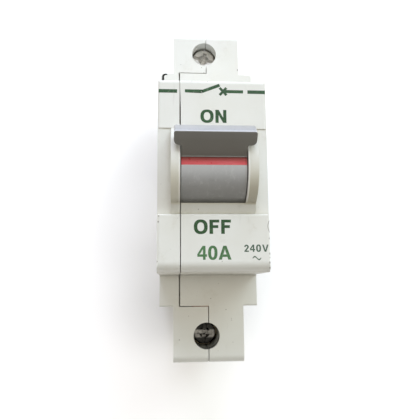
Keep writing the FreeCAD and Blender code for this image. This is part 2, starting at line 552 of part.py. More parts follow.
# ---- magnetic and thermal trip ---------------------------------------------------------
def coil_winding():
    turns = coil((0, 0, 0), (0, 0, 1), COIL_R, COIL_WIRE, COIL_PITCH, COIL_TURNS)
    turns.Placement = FreeCAD.Placement(V(COIL_X, COIL_FRONT_Y, COIL_Z), FreeCAD.Rotation(V(1, 0, 0), -90))
    back_y = COIL_FRONT_Y + COIL_PITCH * COIL_TURNS
    down = cyl_z(LEAD_X, COIL_FRONT_Y, COIL_WIRE, (-5.0, COIL_Z))
    up = cyl_z(LEAD_X, back_y, COIL_WIRE, (COIL_Z, 23.2))
    joints = [Part.makeSphere(COIL_WIRE, V(LEAD_X, y, COIL_Z)) for y in (COIL_FRONT_Y, back_y)]
    return turns.fuse([down, up] + joints).removeSplitter()


def coil_bobbin():
    y = (-19.5, -4.5)
    body = cyl_y(COIL_X, COIL_Z, COIL_R - COIL_WIRE - 0.1, y)
    flanges = [cyl_y(COIL_X, COIL_Z, 4.6, (y[0], y[0] + 0.6)), cyl_y(COIL_X, COIL_Z, 6.2, (y[1] - 1.4, y[1]))]
    return body.fuse(flanges).cut(cyl_y(COIL_X, COIL_Z, 3.0, (-30, 0))).removeSplitter()


def magnet_yoke():
    x = (COIL_X - 5.2, COIL_X + 3.9)
    front = box(x, (-21.0, -19.5), (2.6, 17.0))
    top = box(x, (-21.0, -3.0), (15.5, 17.0))
    rear = box(x, (-4.5, -3.0), (2.6, 17.0))
    body = front.fuse([top, rear]).cut(cyl_y(COIL_X, COIL_Z, 1.3, (-25, -19)))
    return body.removeSplitter()


def fixed_core():
    return cyl_y(COIL_X, COIL_Z, 2.95, (-19.5, -13.6)).cut(cyl_y(COIL_X, COIL_Z, 1.0, (-20, -13)))


def plunger():
    return cyl_y(COIL_X, COIL_Z, 2.9, (-10.8, -4.9))


def pusher_pin():
    return cyl_y(COIL_X, COIL_Z, 0.85, (-22.8, -10.8))


def plunger_spring():
    turns = coil((0, 0, 0), (0, 0, 1), 1.75, 0.25, 0.72, 3.0)
    turns.Placement = FreeCAD.Placement(V(COIL_X, -13.3, COIL_Z), FreeCAD.Rotation(V(1, 0, 0), -90))
    return turns


def bimetal_strip():
    return plate_xz([(-5.0, -20.6), (1.0, -20.6), (1.0, 7.0, 0.8), (-5.0, 7.0, 0.8)], BIMETAL_Y)


def load_strip():
    """Strip from the lower terminal round to the foot of the bimetal, with the calibration screw's lug."""
    path = [(-12.5, LOAD_Z), (-37.6, LOAD_Z), (-37.6, -17.4), (-43.9, -17.4), (-43.9, -20.6)]
    run = strip(path, 1.2, (-4.3, 2.3))
    return run.cut(cyl_z(-1.0, -40.8, 1.0, (-20, -15)))


def calibration_screw():
    shank = cyl_z(-1.0, -40.8, 1.0, (-19.6, -14.6))
    head = cyl_z(-1.0, -40.8, 1.7, (-20.4, -19.0))
    slot = box((-3, 1), (-41.1, -40.5), (-20.6, -19.8))
    return shank.fuse(head).cut(slot).removeSplitter()


# ---- fixed contact and arc chamber -----------------------------------------------------
def fixed_contact_strip():
    """Strip under the fixed contact that runs on as the rear arc runner."""
    path = [(-20.55, -3.6), (-20.55, -12.0), (-9.4, -13.6), (-8.0, -15.5), (-8.0, -28.2)]
    return strip(path, 1.3, (-2.0, 6.9))


def fixed_contact_tip():
    return plate_yz([(-21.2, -10.9), (-21.2, -7.1), (-22.15, -7.4, 0.3), (-22.15, -10.6, 0.3)], (-0.6, 2.5))


def front_arc_runner():
    return strip([(-31.5, -13.2), (-34.4, -14.6), (-34.4, -28.4)], 1.0, (-3.0, 5.0), 1.2)


def arc_plates():
    """Stack of steel splitter plates, each with a notch that draws the arc in."""
    middle = sum(PLATE_X) / 2
    outline = [
        (PLATE_X[0], PLATE_Z[0], 0.4), (PLATE_X[1], PLATE_Z[0], 0.4), (PLATE_X[1], PLATE_Z[1], 0.4),
        (middle + 3.2, PLATE_Z[1], 0.6), (middle + 0.7, PLATE_Z[1] - 6.5, 0.5),
        (middle - 0.7, PLATE_Z[1] - 6.5, 0.5), (middle - 3.2, PLATE_Z[1], 0.6),
        (PLATE_X[0], PLATE_Z[1], 0.4),
    ]
    starts = [PLATE_FIRST_Y + PLATE_PITCH * i for i in range(PLATE_COUNT)]
    return Part.makeCompound([plate_xz(outline, (y, y + PLATE_T)) for y in starts])


def arc_side(x):
    """Fibre side wall of the arc chamber, slotted for the plates' edges."""
    return plate_yz([(-33.2, -28.6, 0.3), (-9.2, -28.6, 0.3), (-9.2, -14.8, 0.3), (-33.2, -14.8, 0.3)], x)


def line_strip():
    """Strip from the upper terminal down to the coil's rear lead."""
    outline = [(-4.5, 19.6, 0.5), (6.9, 19.6, 0.5), (6.9, TOP_STEP_Z + 2.3, 0.5),
               (3.6, TOP_STEP_Z + 3.1, 0.5), (3.6, TOP_END_Z - 1.6, 0.5), (-4.5, TOP_END_Z - 1.6, 0.5)]
    return plate_xz(outline, (BOX_Y[1], BOX_Y[1] + 1.2))


# ---- terminals -------------------------------------------------------------------------
def terminal_box(hole_z, span):
    """Rectangular brass tunnel, tapped in front for the clamping screw."""
    body = plate_xy(block_outline(BOX_X, BOX_Y, 0.8), span)
    tunnel = plate_xy(block_outline(TUNNEL_X, TUNNEL_Y, 0.6), (span[0] - 1, span[1] + 1))
    return body.cut([tunnel, cyl_y(HOLE_X, hole_z, SCREW_R + 0.04, (BOX_Y[0] - 1, TUNNEL_Y[0] + 1))])


def clamp_plate(hole_z, span, advance):
    """Pressure plate on the screw's tip; it slides in the tunnel without turning."""
    y = TUNNEL_Y[0] + advance
    x = (TUNNEL_X[0] + 0.25, TUNNEL_X[1] - 0.25)
    middle, half = (x[0] + x[1]) / 2, (x[1] - x[0]) / 2
    plate = plate_xz(block_outline(x, (hole_z - span, hole_z + span), 0.6), (y + 0.25, y + CLAMP_T))
    ribs = [box((middle - half + 0.6, middle + half - 0.6), (y + CLAMP_T - 0.05, y + CLAMP_T + 0.3),
                (hole_z + s - 0.25, hole_z + s + 0.25)) for s in (-2.0, 0.0, 2.0)]
    return plate.fuse(ribs).removeSplitter()


def terminal_screw(hole_z, advance, slot_angle):
    """Combination-slot cheese-head screw whose tip bears on the clamp plate."""
    front = SCREW_FRONT_Y + advance
    under = front + SCREW_HEAD_T
    tip = TUNNEL_Y[0] + advance + 0.2
    head = cyl_y(HOLE_X, hole_z, SCREW_HEAD_R, (front, under))
    rim = [e for e in head.Edges if max(abs(e.BoundBox.YMin - front), abs(e.BoundBox.YMax - front)) < 1e-6]
    head = head.makeFillet(0.45, rim)
    neck = cyl_y(HOLE_X, hole_z, SCREW_R - 0.45, (under, under + 0.8))
    shank = cyl_y(HOLE_X, hole_z, SCREW_R, (under + 0.8, tip))
    slot = box((HOLE_X - 4, HOLE_X + 4), (front - 1, front + 1.3), (hole_z - 0.5, hole_z + 0.5))
    cross = box((HOLE_X - 0.55, HOLE_X + 0.55), (front - 1, front + 1.7), (hole_z - 2.0, hole_z + 2.0))
    well = Part.makeCone(1.5, 0.5, 1.9, V(HOLE_X, front, hole_z), V(0, 1, 0))
    body = head.fuse([neck, shank]).cut([slot, cross, well]).removeSplitter()
    body.rotate(V(HOLE_X, 0, hole_z), V(0, 1, 0), slot_angle)
    return body


# ---- assembly --------------------------------------------------------------------------
def all_parts():
    case = whole_case()
    return {
        "left_cover": case.common(left_region()),
        "right_base": case.common(right_region()),
        "housing_rivets": rivets(),
        "rail_clip": rail_clip(),
        "toggle": toggle(),
        "toggle_indicator": toggle_indicator(),
        "toggle_pin": toggle_pin(),
        "toggle_spring": toggle_spring(),
        "drive_link": drive_link(),
        "contact_carrier": contact_carrier(),
        "carrier_pin": carrier_pin(),
        "moving_contact_arm": moving_contact_arm(),
        "moving_contact_tip": moving_contact_tip(),
        "contact_spring": contact_spring(),
        "latch_lever": latch_lever(),
        "latch_pin": latch_pin(),
        "trip_lever": trip_lever(),
        "flexible_braid": flexible_braid(),
        "coil_winding": coil_winding(),
        "coil_bobbin": coil_bobbin(),
        "magnet_yoke": magnet_yoke(),
        "fixed_core": fixed_core(),
        "plunger": plunger(),
        "pusher_pin": pusher_pin(),
        "plunger_spring": plunger_spring(),
        "bimetal_strip": bimetal_strip(),
        "load_strip": load_strip(),
        "calibration_screw": calibration_screw(),
        "fixed_contact_strip": fixed_contact_strip(),
        "fixed_contact_tip": fixed_contact_tip(),
        "front_arc_runner": front_arc_runner(),
        "arc_splitter_plates": arc_plates(),
        "arc_side_left": arc_side((PLATE_X[0] - 0.9, PLATE_X[0] - 0.1)),
        "arc_side_right": arc_side((PLATE_X[1] + 0.1, PLATE_X[1] + 0.9)),
        "line_strip": line_strip(),
        "top_terminal_box": terminal_box(TOP_HOLE_Z, TOP_BOX_Z),
        "top_clamp_plate": clamp_plate(TOP_HOLE_Z, 3.5, 0.0),
        "top_terminal_screw": terminal_screw(TOP_HOLE_Z, 0.0, 14.0),
        "bottom_terminal_box": terminal_box(BOTTOM_HOLE_Z, BOTTOM_BOX_Z),
        "bottom_clamp_plate": clamp_plate(BOTTOM_HOLE_Z, 4.2, SCREW_TRAVEL),
        "bottom_terminal_screw": terminal_screw(BOTTOM_HOLE_Z, SCREW_TRAVEL, 96.0),
    }


def main():
    os.makedirs("parts", exist_ok=True)
    for name, shape in all_parts().items():
        solids = shape.Solids
        ok = all(s.isValid() and s.Volume > 0 for s in solids)
        volume = sum(s.Volume for s in solids)
        print(f"{name}: {len(solids)} solid(s), {volume:.1f} mm3{'' if ok else ' INVALID'}")
        shape.exportStep(f"parts/{name}.step")


main()
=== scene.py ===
"""Looks of a rail-mounted circuit breaker: materials, print, wear, camera and studio.

Lengths named in the tables below are in millimetres; MM turns them into the CAD frame's metres.
X is across the breaker, Y runs from front to back and Z is up.
"""
import math

import bpy
from mathutils import Euler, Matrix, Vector


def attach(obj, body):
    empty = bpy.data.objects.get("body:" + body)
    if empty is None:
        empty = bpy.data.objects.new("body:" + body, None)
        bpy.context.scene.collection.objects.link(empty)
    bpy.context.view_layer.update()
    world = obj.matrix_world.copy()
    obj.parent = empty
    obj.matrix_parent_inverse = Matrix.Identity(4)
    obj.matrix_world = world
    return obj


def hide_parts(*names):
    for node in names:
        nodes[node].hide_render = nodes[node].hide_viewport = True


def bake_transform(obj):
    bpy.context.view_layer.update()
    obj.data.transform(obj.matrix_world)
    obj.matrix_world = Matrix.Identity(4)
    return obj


MM = 0.001
FACE_Y = -60.5          # front face of the nose
SHOULDER_Y = -40.5      # front face of the terminal blocks
BOARD_Y = 5.8           # board that the breaker lies against
CHIPS = [               # nicks and dirt on the nose: across, up and radius
    (12.6, -15.0, 0.30), (12.6, -18.4, 0.34), (12.6, -19.3, 0.22), (12.5, -20.4, 0.36),
    (12.5, -21.6, 0.25), (-12.3, -9.9, 0.22), (-12.4, -11.2, 0.28), (-12.65, -20.0, 0.25),
    (-4.73, 22.2, 0.22), (-1.04, 22.25, 0.20), (1.74, -20.1, 0.14),
]
BLOCK_DOTS = [(-1.3, 35.3, 0.16), (8.95, 34.8, 0.30)]     # dark dots on the upper terminal block
SCRAPE_X, SCRAPE_Z, SCRAPE_R = 14.65, -12.3, 2.4          # curved scrape at the right of the nose
HOLE_X, BOTTOM_HOLE_Z, HOLE_R = -0.55, -38.1, 3.37        # lower screw hole
BEZEL_Z = (-7.4, 6)     # height of the painted highlight lines on the bezel's inner lips
TIP_Z = 6.65            # lower edge of the lever's tip
LEVER_FRONT_Y = -69.9   # foremost point of the lever
LEVER_SLOPE = 1.024     # fall of the lever's underside towards the drum

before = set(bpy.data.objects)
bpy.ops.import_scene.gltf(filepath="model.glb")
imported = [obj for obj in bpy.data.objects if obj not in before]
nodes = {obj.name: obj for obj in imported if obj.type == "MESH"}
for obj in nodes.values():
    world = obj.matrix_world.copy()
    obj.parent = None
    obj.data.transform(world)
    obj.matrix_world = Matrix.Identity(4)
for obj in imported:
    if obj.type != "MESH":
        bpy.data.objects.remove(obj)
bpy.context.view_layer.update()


# ---- material building ---------------------------------------------------------------------------
class Shader:
    """A Principled material with short names for the nodes that feed it."""

    def __init__(self, name, colour, roughness=0.5, metallic=0.0, **sockets):
        self.material = bpy.data.materials.new(name)
        self.material.use_nodes = True
        self.tree = self.material.node_tree
        self.principled = self.tree.nodes["Principled BSDF"]
        self.set(self.principled, "Base Color", (*colour, 1))
        self.set(self.principled, "Roughness", roughness)
        self.set(self.principled, "Metallic", metallic)
        for socket, value in sockets.items():
            self.set(self.principled, socket.replace("_", " "), value)
        self.coords = self.tree.nodes.new("ShaderNodeTexCoord").outputs["Object"]

    def set(self, node, socket, value):
        """Gives a socket a value, or links it if the value is another node's output."""
        target = node.inputs[socket]
        if isinstance(value, bpy.types.NodeSocket):
            self.tree.links.new(value, target)
        else:
            target.default_value = value

    def add(self, kind, inputs=None, **settings):
        node = self.tree.nodes.new(kind)
        for name, value in settings.items():
            setattr(node, name, value)
        for socket, value in (inputs or {}).items():
            self.set(node, socket, value)
        return node

    def stretched(self, scale):
        """Object coordinates with each axis scaled."""
        inputs = {"Vector": self.coords, "Scale": scale}
        return self.add("ShaderNodeMapping", inputs).outputs["Vector"]

    def noise(self, scale, detail=3.0, roughness=0.5, vector=None):
        inputs = {"Vector": vector or self.coords, "Scale": scale, "Detail": detail,
                  "Roughness": roughness}
        return self.add("ShaderNodeTexNoise", inputs).outputs["Fac"]

    def voronoi(self, scale, vector=None, feature="F1"):
        inputs = {"Vector": vector or self.coords, "Scale": scale}
        return self.add("ShaderNodeTexVoronoi", inputs, feature=feature).outputs["Distance"]

    def ramp(self, value, low, high, start=0.0, end=1.0, smooth=True):
        """Value mapped from low..high to start..end and held outside it."""
        inputs = {"Value": value, "From Min": low, "From Max": high, "To Min": start, "To Max": end}
        kind = "SMOOTHSTEP" if smooth else "LINEAR"
        return self.add("ShaderNodeMapRange", inputs, interpolation_type=kind).outputs["Result"]

    def math(self, operation, a, b=0.0):
        node = self.add("ShaderNodeMath", operation=operation)
        self.set(node, 0, a)
        self.set(node, 1, b)
        return node.outputs[0]

    def mix(self, factor, a, b):
        node = self.add("ShaderNodeMix", data_type="RGBA")
        self.set(node, 0, factor)
        self.set(node, 6, a if isinstance(a, bpy.types.NodeSocket) else (*a, 1))
        self.set(node, 7, b if isinstance(b, bpy.types.NodeSocket) else (*b, 1))
        return node.outputs[2]

    def axis(self, name):
        return self.add("ShaderNodeSeparateXYZ", {"Vector": self.coords}).outputs[name]

    def distance(self, x, y, z, scale=(1, 1, 1)):
        """Distance in millimetres from a point given in millimetres, each axis weighted."""
        moved = self.add("ShaderNodeVectorMath", operation="SUBTRACT")
        self.set(moved, 0, self.coords)
        moved.inputs[1].default_value = (x * MM, y * MM, z * MM)
        weighed = self.add("ShaderNodeVectorMath", operation="MULTIPLY")
        self.set(weighed, 0, moved.outputs["Vector"])
        weighed.inputs[1].default_value = tuple(1000 * s for s in scale)
        length = self.add("ShaderNodeVectorMath", operation="LENGTH")
        self.set(length, 0, weighed.outputs["Vector"])
        return length.outputs["Value"]

    def within(self, x, y, z):
        """1 inside a box given in millimetres, 0 outside it."""
        inside = 1.0
        for name, (low, high) in zip("XYZ", (x, y, z)):
            at = self.axis(name)
            inside = self.math("MULTIPLY", inside, self.math("GREATER_THAN", at, low * MM))
            inside = self.math("MULTIPLY", inside, self.math("LESS_THAN", at, high * MM))
        return inside

    def bump(self, height, distance, strength=1.0):
        inputs = {"Height": height, "Distance": distance * MM, "Strength": strength}
        self.set(self.principled, "Normal", self.add("ShaderNodeBump", inputs).outputs["Normal"])

    def colour(self, value):
        self.set(self.principled, "Base Color", value)

    def roughness(self, value):
        self.set(self.principled, "Roughness", value)


def moulded(name, colour, stain, grime_and_shade, speck_share=0.5, face_wear_and_shading=True):
    """Off-white thermoset: mottled, with dust in its corners and dark specks, and on the face
    painted highlights on the bezel lips and painted shade in hollows and on undersides.
    """
    s = Shader(name, colour, 0.42, Coat_Weight=0.06, Coat_Roughness=0.35)
    s.principled.inputs["Specular IOR Level"].default_value = 0.42
    cloud = s.ramp(s.noise(55, 4, 0.6), 0.32, 0.72)
    base = s.mix(cloud, colour, stain)
    blotch = s.ramp(s.noise(210, 5, 0.65), 0.56, 0.80, 0, 0.30)
    base = s.mix(blotch, base, grime_and_shade)
    corner = s.add("ShaderNodeAmbientOcclusion", {"Distance": 2.2 * MM}, samples=8).outputs["AO"]
    dust = s.ramp(corner, 0.35, 0.95, 0.55, 0)
    patchy = s.ramp(s.noise(420, 4), 0.25, 0.65, 0.4, 1.0)
    base = s.mix(s.math("MULTIPLY", dust, patchy), base, grime_and_shade)
    if face_wear_and_shading:
        streak = s.ramp(s.noise(300, 6, 0.7, s.stretched((1.0, 1.0, 0.18))), 0.60, 0.78, 0, 0.22)
        base = s.mix(streak, base, (0.36, 0.355, 0.34))
        speck_cells = s.voronoi(760)
        rare = s.ramp(s.noise(330, 1), 0.60, 0.68)
        speck = s.math("MULTIPLY", s.ramp(speck_cells, 0.07, 0.15, speck_share, 0), rare)
        base = s.mix(speck, base, (0.09, 0.08, 0.07))
        from_middle = s.distance(SCRAPE_X, FACE_Y, SCRAPE_Z, (1, 0.2, 1))
        scrape = s.math("ABSOLUTE", s.math("SUBTRACT", from_middle, SCRAPE_R))
        marks = s.ramp(scrape, 0.03, 0.12, 0.95, 0)
        for x, z, radius in CHIPS:
            chip = s.ramp(s.distance(x, FACE_Y, z, (1, 0.2, 1)), radius * 0.4, radius, 0.7, 0)
            marks = s.math("MAXIMUM", marks, chip)
        front = s.ramp(s.axis("Y"), (FACE_Y + 0.9) * MM, (FACE_Y + 1.5) * MM, 1, 0, False)
        marks = s.math("MULTIPLY", marks, front)
        for x, z, radius in BLOCK_DOTS:
            dot = s.ramp(s.distance(x, SHOULDER_Y, z), radius * 0.4, radius, 0.8, 0)
            marks = s.math("MAXIMUM", marks, dot)
        base = s.mix(marks, base, (0.20, 0.185, 0.165))
        # Painted shadow: near black in the corner groove at the upper block's top left.
        groove_shade = s.within((-12.5, -10.8), (SHOULDER_Y + 0.05, SHOULDER_Y + 1.5), (30.5, 33.4))
        base = s.mix(groove_shade, base, (0.05, 0.045, 0.04))
        # Painted shade: the wall of the lower screw hole darkens with depth.
        from_axis = s.distance(HOLE_X, 0, BOTTOM_HOLE_Z, (1, 0, 1))
        lower_hole = s.math("LESS_THAN", from_axis, HOLE_R + 0.15)
        inside = s.ramp(s.axis("Y"), (SHOULDER_Y + 0.25) * MM, (SHOULDER_Y + 0.7) * MM, 0, 0.86)
        base = s.mix(s.math("MULTIPLY", lower_hole, inside), base, (0.13, 0.13, 0.12))
        # Painted shade on the bezel: warmer and darker towards its bottom, and darker still on the
        # lower right cheek.
        bezel = s.ramp(s.axis("Y"), (FACE_Y - 0.45) * MM, (FACE_Y - 0.15) * MM, 1, 0)
        bezel_shade = s.ramp(s.axis("Z"), -3 * MM, 3 * MM, 0.95, 0.1)
        base = s.mix(s.math("MULTIPLY", bezel, bezel_shade), base, (0.68, 0.665, 0.58))
        low_right = s.ramp(s.axis("Z"), -6 * MM, 0, 0.5, 0)
        shade = s.math("MULTIPLY", low_right, s.ramp(s.axis("X"), 6 * MM, 8 * MM))
        base = s.mix(s.math("MULTIPLY", bezel, shade), base, (0.40, 0.37, 0.28))
        # Painted highlights: pale lines along the inner lips of the bezel cheeks.
        ahead = (-80, FACE_Y - 0.6)
        left_lip_highlight = s.within((-7.9, -7.5), ahead, BEZEL_Z)
        lip_highlights = s.math("ADD", left_lip_highlight, s.within((7.25, 7.62), ahead, BEZEL_Z))
        base = s.mix(s.math("MULTIPLY", lip_highlights, 0.8), base, (0.90, 0.90, 0.88))
        # Painted shade on the downward faces in front of the shoulder.
        normal = s.add("ShaderNodeNewGeometry").outputs["Normal"]
        facing = s.add("ShaderNodeSeparateXYZ", {"Vector": normal}).outputs["Z"]
        under_nose = s.ramp(s.axis("Y"), (SHOULDER_Y - 2) * MM, (SHOULDER_Y - 1) * MM, 1, 0)
        downward_shade = s.ramp(facing, -0.97, -0.80, 0.6, 0)
        base = s.mix(s.math("MULTIPLY", downward_shade, under_nose), base, grime_and_shade)
    s.colour(base)
    s.roughness(s.ramp(s.noise(240, 4), 0.3, 0.75, 0.34, 0.55))
    fine = s.math("ADD", s.noise(5200, 2), s.math("MULTIPLY", s.noise(900, 4), 1.6))
    s.bump(fine, 0.018, 0.55)
    return s.material


def toggle_plastic(name, colour, tip_highlight):
    """Grey moulded lever and drum: satin and finely grained, with a painted highlight along the
    tip, painted shade under the lever and painted light and shade down the drum.
    """
    s = Shader(name, colour, 0.4)
    base = s.mix(s.ramp(s.noise(120, 4, 0.6), 0.35, 0.7), colour, tuple(c * 1.10 for c in colour))
    # Painted highlight along the tip, brightest on its lower edge.
    tip = s.ramp(s.axis("Y"), -69.4 * MM, -68.4 * MM, 1, 0, False)
    base = s.mix(s.math("MULTIPLY", tip, 0.9), base, tip_highlight)
    mottle = s.ramp(s.noise(1900, 4, 0.7), 0.42, 0.60, 0, 0.35)
    base = s.mix(s.math("MULTIPLY", tip, mottle), base, tuple(c * 0.62 for c in tip_highlight))
    tip_edge_highlight = s.ramp(s.axis("Z"), (TIP_Z + 0.25) * MM, (TIP_Z + 0.6) * MM, 0.75, 0)
    base = s.mix(s.math("MULTIPLY", tip, tip_edge_highlight), base, tuple(c * 1.5 for c in tip_highlight))
    wear = s.ramp(s.noise(700, 5, 0.7, s.stretched((0.25, 1, 1))), 0.60, 0.76, 0, 0.35)
    base = s.mix(wear, base, tuple(c * 0.62 for c in colour))
    fall = s.math("MULTIPLY", s.math("ADD", s.axis("Y"), -LEVER_FRONT_Y * MM), LEVER_SLOPE)
    height = s.math("ADD", s.math("SUBTRACT", s.axis("Z"), TIP_Z * MM), fall)
    under = s.ramp(height, 0.10 * MM, 0.40 * MM, 1, 0)
    above_drum = s.ramp(s.axis("Z"), 2.0 * MM, 2.6 * MM)
    shaded = s.math("MULTIPLY", s.math("MULTIPLY", under, above_drum), 0.9)
    base = s.mix(shaded, base, (0.19, 0.185, 0.17))
    drum = s.ramp(s.axis("Z"), 0.8 * MM, 1.0 * MM, 1, 0)
    # Painted light on the drum's upper part.
    drum_top_light = s.math("MULTIPLY", drum, s.ramp(s.axis("Z"), -3.4 * MM, 0.5 * MM, 0, 0.55))
    base = s.mix(drum_top_light, base, (0.58, 0.59, 0.61))
    scuff = s.ramp(s.noise(900, 6, 0.75, s.stretched((1, 1, 0.5))), 0.52, 0.66, 0, 0.30)
    base = s.mix(s.math("MULTIPLY", drum, scuff), base, (0.62, 0.63, 0.64))
    # Painted shade towards the drum's bottom.
    low = s.math("MULTIPLY", drum, s.ramp(s.axis("Z"), -6.5 * MM, -2.0 * MM, 0.30, 0))
    base = s.mix(low, base, (0.20, 0.20, 0.19))
    s.colour(base)
    s.roughness(s.ramp(s.noise(300, 3), 0.3, 0.7, 0.30, 0.46))
    s.bump(s.math("ADD", s.noise(4200, 3), s.noise(800, 2)), 0.015, 0.5)
    return s.material


def plain_plastic(name, colour, roughness=0.45, grain=0.012):
    s = Shader(name, colour, roughness)
    s.colour(s.mix(s.ramp(s.noise(260, 4), 0.3, 0.7), colour, tuple(c * 0.8 for c in colour)))
    s.roughness(s.ramp(s.noise(500, 3), 0.3, 0.7, roughness - 0.08, roughness + 0.1))
    s.bump(s.noise(3200, 3), grain, 0.6)
    return s.material


def indicator_red(name):
    """Red let into the drum: painted shade along its upper edge, painted light along the lower one
    and streaks of painted sheen.
    """
    s = Shader(name, (0.60, 0.055, 0.060), 0.34)
    shade_to_light = s.ramp(s.axis("Z"), 0.9 * MM, 2.2 * MM, 1, 0)
    base = s.mix(shade_to_light, (0.22, 0.030, 0.022), (0.66, 0.085, 0.10))
    # Painted sheen: pale streaks across the red.
    streak = s.ramp(s.noise(620, 5, 0.7, s.stretched((0.12, 1, 1))), 0.50, 0.70, 0, 0.55)
    base = s.mix(streak, base, (0.78, 0.22, 0.24))
    s.colour(base)
    s.roughness(s.ramp(s.noise(500, 3), 0.3, 0.7, 0.26, 0.44))
    s.bump(s.noise(2600, 3), 0.02, 0.6)
    return s.material


def metal(name, colour, tarnish, roughness=0.3, brush=(1, 1, 1), pits=0.5, lit_band_z=None):
    """Plated or bare metal: grain drawn along one axis, dull patches and fine pits.

    lit_band_z is a pair of heights, with painted black shade above and below it.
    """
    s = Shader(name, colour, roughness, 1.0)
    grain = s.noise(2600, 4, 0.6, s.stretched(brush))
    patch = s.ramp(s.noise(330, 5, 0.65), 0.42, 0.72)
    drawn = s.mix(s.ramp(grain, 0.3, 0.7), colour, tuple(c * 0.86 for c in colour))
    base = s.mix(s.math("MULTIPLY", patch, pits), drawn, tarnish)
    if lit_band_z:
        low, high = lit_band_z
        above = s.ramp(s.axis("Z"), (high - 0.3) * MM, (high + 0.3) * MM)
        below = s.ramp(s.axis("Z"), (low - 0.3) * MM, (low + 0.3) * MM, 1, 0)
        # Painted shade above and below the given band of heights.
        band_shade = s.math("MULTIPLY", s.math("MAXIMUM", above, below), 0.93)
        base = s.mix(band_shade, base, (0.03, 0.03, 0.028))
    s.colour(base)
    dulled = s.ramp(patch, 0, 1, roughness, roughness + 0.22)
    s.roughness(s.math("ADD", dulled, s.ramp(grain, 0.3, 0.7, 0, 0.1)))
    s.bump(s.math("ADD", grain, s.ramp(s.voronoi(1500), 0.0, 0.35, 0, 1.2)), 0.02, 0.5)
    return s.material


def fibre_board(name):
    s = Shader(name, (0.36, 0.21, 0.12), 0.75)
    strands = s.noise(900, 5, 0.7, s.stretched((1, 0.2, 1)))
    s.colour(s.mix(s.ramp(strands, 0.3, 0.7), (0.30, 0.17, 0.10), (0.46, 0.29, 0.17)))
    s.bump(strands, 0.05, 0.7)
    return s.material


def ink(name, colour, worn):
    """Pad-printed ink, thin enough in places to show the plastic."""
    s = Shader(name, colour, 0.5)
    thin = s.ramp(s.noise(1500, 5, 0.7), 0.50, 0.78, 0, 0.55)
    full = s.mix(s.ramp(s.noise(260, 3), 0.3, 0.7), colour, tuple(c * 1.25 for c in colour))
    s.colour(s.mix(thin, full, worn))
    s.bump(s.noise(3000, 2), 0.01, 0.5)
    return s.material


IVORY, IVORY_STAIN, GRIME_AND_SHADE = (0.775, 0.785, 0.760), (0.740, 0.742, 0.700), (0.50, 0.47, 0.38)
housing = moulded("housing_thermoset", IVORY, IVORY_STAIN, GRIME_AND_SHADE)
clip_plastic = moulded("clip_plastic", (0.72, 0.71, 0.66), (0.67, 0.655, 0.60), GRIME_AND_SHADE,
                       face_wear_and_shading=False)
toggle_grey = toggle_plastic("toggle_plastic", (0.365, 0.370, 0.380), (0.385, 0.40, 0.435))
red = indicator_red("indicator_red")
dark = plain_plastic("mechanism_plastic", (0.045, 0.045, 0.050), 0.5)
zinc = metal("zinc_plate", (0.62, 0.615, 0.60), (0.33, 0.31, 0.28), 0.32)
screw_metal = metal("screw_plate", (0.86, 0.855, 0.84), (0.36, 0.34, 0.30), 0.26, (1, 1, 1), 0.6)
# The lower screw is a darker copy of the screw plate: painted shade for its depth in the hole.
shaded_screw = metal("shaded_screw_plate", (0.50, 0.49, 0.47), (0.10, 0.095, 0.09), 0.36,
                   (1, 1, 1), 0.7, (-39.4, -37.4))
spring_steel = metal("spring_steel", (0.42, 0.42, 0.43), (0.20, 0.19, 0.18), 0.28)
copper = metal("copper", (0.80, 0.39, 0.23), (0.30, 0.15, 0.10), 0.30, (1, 0.2, 1))
enamelled = metal("enamelled_copper", (0.62, 0.24, 0.11), (0.34, 0.12, 0.06), 0.25)
brass = metal("nickel_brass", (0.70, 0.60, 0.40), (0.36, 0.28, 0.16), 0.34, (1, 1, 0.2))
silver = metal("contact_silver", (0.80, 0.79, 0.77), (0.25, 0.23, 0.21), 0.38)
bimetal = metal("bimetal", (0.60, 0.56, 0.48), (0.36, 0.33, 0.28), 0.30, (1, 1, 0.12))
fibre = fibre_board("vulcanised_fibre")
green = ink("green_ink", (0.009, 0.054, 0.011), (0.17, 0.28, 0.15))
bar_green = ink("bar_green_ink", (0.014, 0.062, 0.018), (0.18, 0.28, 0.18))
pale_green = ink("worn_green_ink", (0.050, 0.142, 0.052), (0.40, 0.50, 0.36))
small_green = ink("small_green_ink", (0.055, 0.100, 0.070), (0.42, 0.46, 0.40))

FINISH = {
    "left_cover": housing, "right_base": housing, "rail_clip": clip_plastic,
    "housing_rivets": zinc, "toggle": toggle_grey, "toggle_indicator": red, "toggle_pin": zinc,
    "carrier_pin": zinc, "latch_pin": zinc, "toggle_spring": spring_steel,
    "contact_spring": spring_steel, "plunger_spring": spring_steel, "drive_link": zinc,
    "contact_carrier": dark, "trip_lever": dark, "coil_bobbin": dark,
    "moving_contact_arm": copper, "fixed_contact_strip": copper, "line_strip": copper,
    "load_strip": copper, "flexible_braid": copper, "coil_winding": enamelled,
    "moving_contact_tip": silver, "fixed_contact_tip": silver, "magnet_yoke": zinc,
    "fixed_core": zinc, "plunger": zinc, "pusher_pin": brass, "bimetal_strip": bimetal,
    "calibration_screw": brass, "latch_lever": zinc, "front_arc_runner": zinc,
    "arc_splitter_plates": zinc, "arc_side_left": fibre, "arc_side_right": fibre,
    "top_terminal_box": brass, "bottom_terminal_box": brass, "top_clamp_plate": zinc,
    "bottom_clamp_plate": zinc, "top_terminal_screw": screw_metal,
    "bottom_terminal_screw": shaded_screw,
}
for node_name, finish in FINISH.items():
    target = nodes[node_name]
    target.data.materials.clear()
    target.data.materials.append(finish)


# ---- copies of the springs and braid -------------------------------------------------------------
def flexing(node):
    """Stand-in for a wound or woven node: a copy of its mesh in place, with the node hidden."""
    mesh = nodes[node].data.copy()
    mesh.transform(nodes[node].matrix_world)
    piece = bpy.data.objects.new(node + "_flexing", mesh)
    bpy.context.scene.collection.objects.link(piece)
    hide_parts(node)
    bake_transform(piece)


